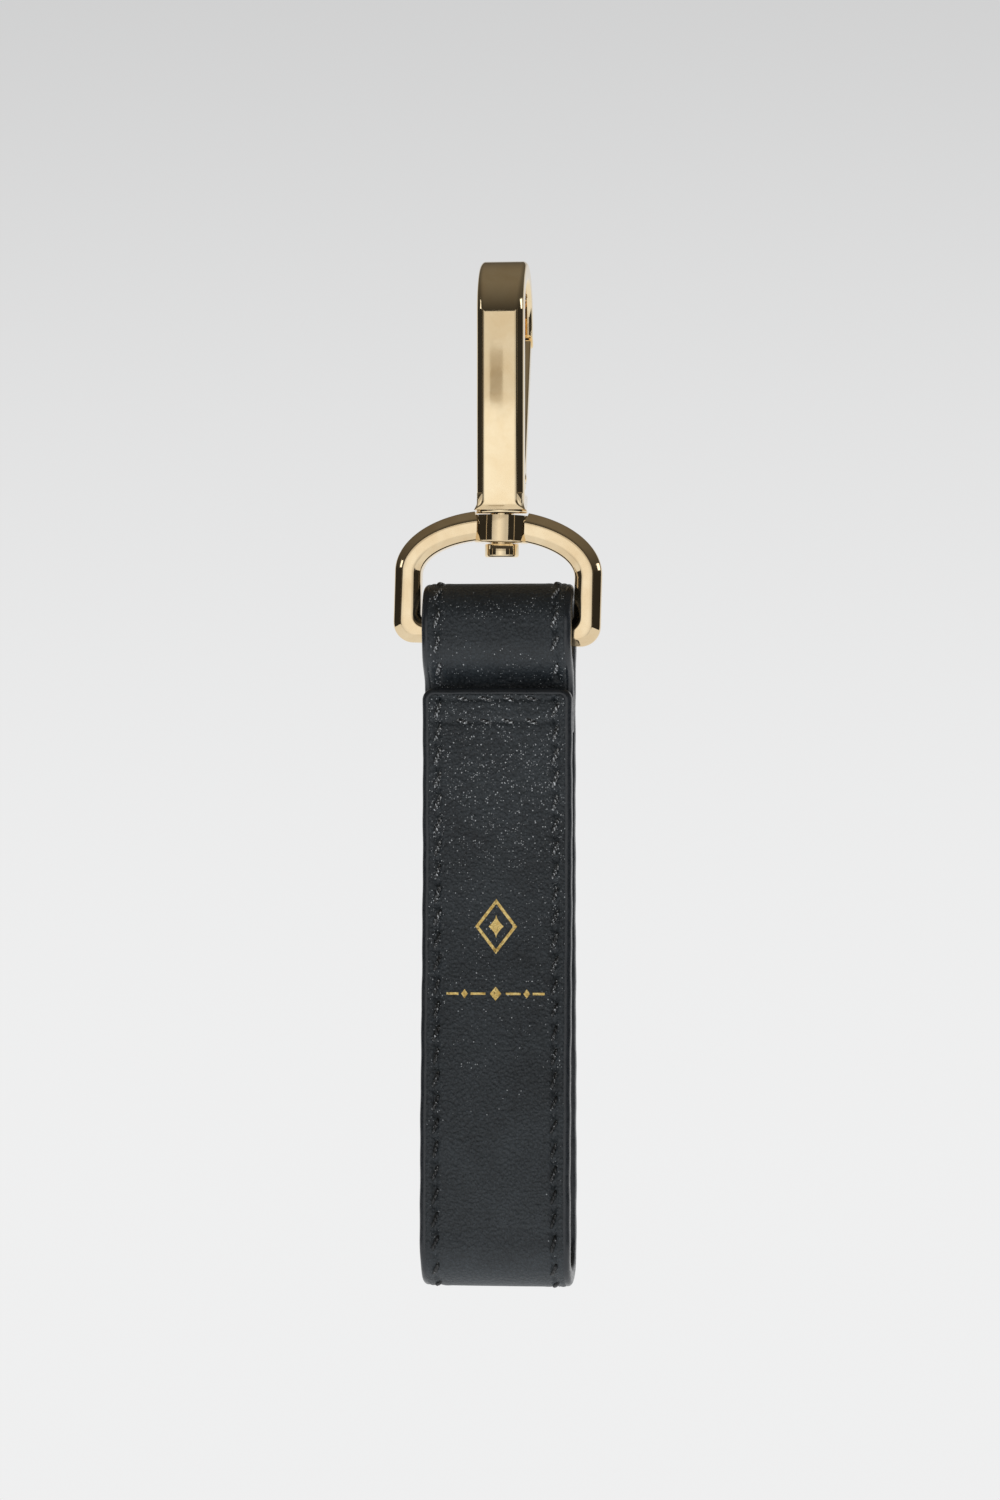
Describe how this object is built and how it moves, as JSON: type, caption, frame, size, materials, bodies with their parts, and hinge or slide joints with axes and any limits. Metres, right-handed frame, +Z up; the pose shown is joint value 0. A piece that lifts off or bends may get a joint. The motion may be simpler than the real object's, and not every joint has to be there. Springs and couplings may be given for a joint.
{
  "type": "wristlet keychain",
  "caption": "Wristlet keychain: a spring-gate snap hook that swivels on a D-ring, with a sewn black leather wrist strap folded into a loop.",
  "frame": {"origin": "the hook's hanging point: the crown of its throat, on the hook's middle plane", "axes": "+X to the right of the strap seen from its front, +Y from the hook's spine towards its gate and nose, +Z up along the hanging strap"},
  "size_m": [0.0351, 0.025, 0.173],
  "materials": {
    "gold_plate": "polished light gold plating",
    "spring_steel": "bright drawn wire",
    "face_leather": "fine-grained semi-matte black leather",
    "lining_leather": "matte black leather lining",
    "thread": "black bonded sewing thread",
    "gold_foil": "hot-stamped gold foil"
  },
  "bodies": {
    "hook": {"hook_body": "gold_plate", "gate_pin": "gold_plate", "gate_spring": "spring_steel", "swivel_rivet": "gold_plate"},
    "gate": {"gate": "gold_plate"},
    "ring": {"d_ring": "gold_plate"},
    "strap": {"strap_face": "face_leather", "strap_lining": "lining_leather", "face_seam_left": "thread", "face_seam_right": "thread", "lining_seam_left": "thread", "lining_seam_right": "thread", "front_row_upper": "thread", "front_row_lower": "thread", "back_row_upper": "thread", "back_row_lower": "thread", "foil_lozenge": "gold_foil", "foil_rule": "gold_foil"}
  },
  "joints": [
    {"name": "gate_pivot", "type": "hinge", "parent": "hook", "child": "gate", "pos_m": [0, -0.00295, -0.0335], "axis": [1, 0, 0], "range_deg": [0, 24], "stiffness_Nm_per_rad": 0.02, "springref_deg": -34.38, "deforming": ["gate_spring"]},
    {"name": "ring_swivel", "type": "hinge", "parent": "hook", "child": "ring", "pos_m": [0, -0.00615, -0.04225], "axis": [0, 0, 1], "continuous": true},
    {"name": "strap_swing", "type": "hinge", "parent": "ring", "child": "strap", "pos_m": [0, -0.00615, -0.05965], "axis": [1, 0, 0], "range_deg": [-120, 120]}
  ]
}
